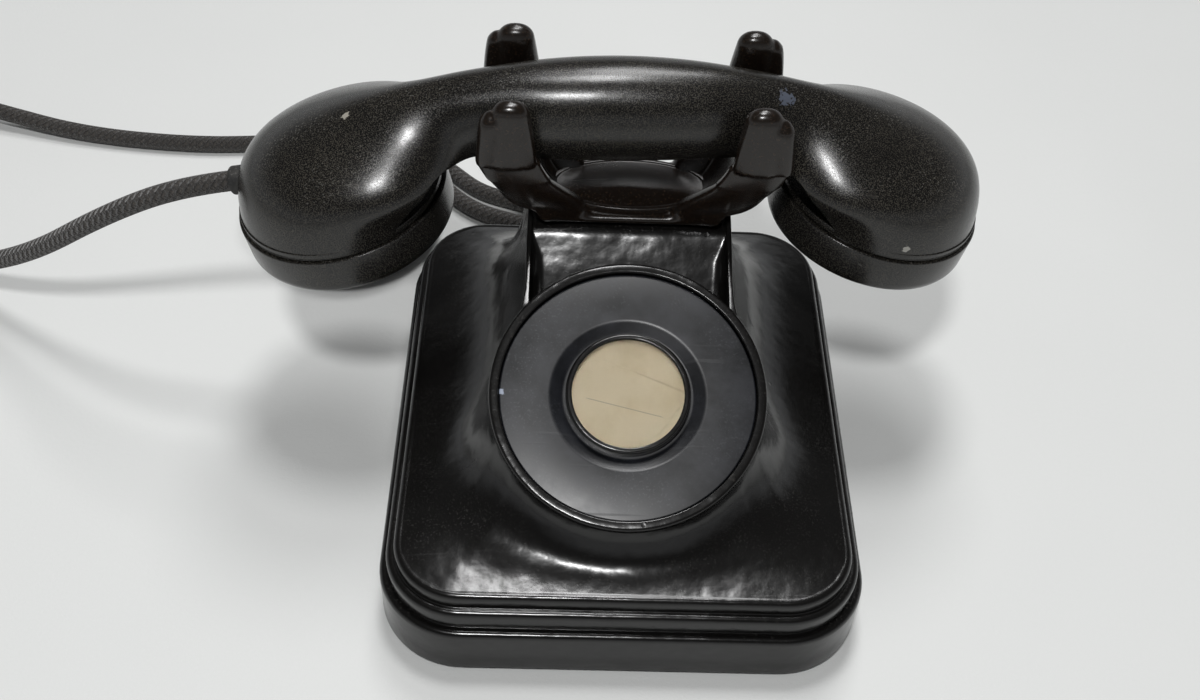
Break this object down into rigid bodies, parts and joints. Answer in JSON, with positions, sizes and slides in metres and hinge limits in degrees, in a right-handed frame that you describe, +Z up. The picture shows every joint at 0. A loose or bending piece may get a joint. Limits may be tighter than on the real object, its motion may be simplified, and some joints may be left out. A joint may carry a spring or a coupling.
{
  "type": "desk telephone",
  "caption": "Desk telephone with a flared square base, a round blank with a card holder in place of a dial, a four-horned cradle and an arched handset on a braided cord.",
  "frame": {"origin": "middle of the telephone's own box in plan, without its cords, on the surface that it stands on", "axes": "+Z up, -Y towards the front with the dial blank, +X to the right along the handset"},
  "size_m": [0.4552, 0.2602, 0.131],
  "materials": {
    "black_phenolic": "polished moulding with fine pits and scratches",
    "plate_steel": "black japanned sheet",
    "foot_rubber": "matt",
    "screw_steel": "dull",
    "blank_lacquer": "satin black",
    "ring_lacquer": "satin black",
    "card_paper": "cream, aged",
    "window_celluloid": "clear sheet",
    "bush_brass": "turned",
    "spring_steel": "wire",
    "frame_steel": "plated sheet",
    "contact_silver": "nickel silver",
    "insulator_brown": "laminated",
    "gong_brass": "spun",
    "magnet_iron": "dark",
    "coil_wire": "wound enamelled wire",
    "can_tin": "tinned can",
    "terminal_brass": "turned",
    "cradle_phenolic": "polished, brown in the light",
    "stem_steel": "turned",
    "lever_laminate": "laminated",
    "handset_phenolic": "worn, fine speckle",
    "capsule_can": "spun can",
    "cap_phenolic": "polished",
    "cord_braid": "woven cotton braid",
    "plug_phenolic": "moulded"
  },
  "bodies": {
    "base": {"housing": "black_phenolic", "base_plate": "plate_steel", "rubber_feet": "foot_rubber", "base_screws": "screw_steel", "dial_blank": "blank_lacquer", "clamp_screws": "screw_steel", "card_ring": "ring_lacquer", "number_card": "card_paper", "card_window": "window_celluloid", "stem_bush": "bush_brass", "return_spring": "spring_steel", "switch_frame": "frame_steel", "lever_pin": "screw_steel", "contact_springs": "contact_silver", "contact_stack": "insulator_brown", "gongs": "gong_brass", "gong_posts": "frame_steel", "gong_screws": "screw_steel", "ringer_frame": "frame_steel", "ringer_magnet": "magnet_iron", "ringer_coils": "coil_wire", "ringer_pivot_pin": "screw_steel", "induction_coil": "coil_wire", "condenser": "can_tin", "condenser_strap": "frame_steel", "terminal_strip": "insulator_brown", "terminal_screws": "terminal_brass", "cord_grommets": "foot_rubber", "handset_cord": "cord_braid", "handset_cord_coil": "cord_braid", "handset_cord_return": "cord_braid", "line_cord": "cord_braid", "line_cord_coil": "cord_braid", "line_plug": "plug_phenolic"},
    "cradle": {"cradle": "cradle_phenolic", "cradle_stem": "stem_steel"},
    "switch_lever": {"switch_lever": "lever_laminate"},
    "ringer_armature": {"ringer_armature": "magnet_iron", "clapper": "screw_steel"},
    "handset": {"handset_body": "handset_phenolic", "receiver_capsule": "capsule_can", "transmitter_capsule": "capsule_can", "capsule_leaves": "contact_silver", "ear_cap": "cap_phenolic", "mouth_cap": "cap_phenolic", "handset_cord_bush": "foot_rubber"}
  },
  "joints": [
    {"name": "cradle_lift", "type": "slide", "parent": "base", "child": "cradle", "axis": [0, 0, 1], "range_m": [0, 0.007], "stiffness_N_per_m": 90, "springref_m": 0.0222, "deforming": ["return_spring"]},
    {"name": "lever_turn", "type": "hinge", "parent": "base", "child": "switch_lever", "pos_m": [0.03159, 0.0383, 0.0436], "axis": [0, 1, 0], "range_deg": [0, 20.2]},
    {"name": "handset_lift", "type": "slide", "parent": "cradle", "child": "handset", "axis": [0, 0, 1], "range_m": [0, 0.12]},
    {"name": "armature_rock", "type": "hinge", "parent": "base", "child": "ringer_armature", "pos_m": [0.00659, -0.0129, 0.019], "axis": [0, 0, 1], "range_deg": [-4, 4]}
  ],
  "couplings": [
    {"joint": "lever_turn", "follows": "cradle_lift", "rad_per_m": 50}
  ]
}
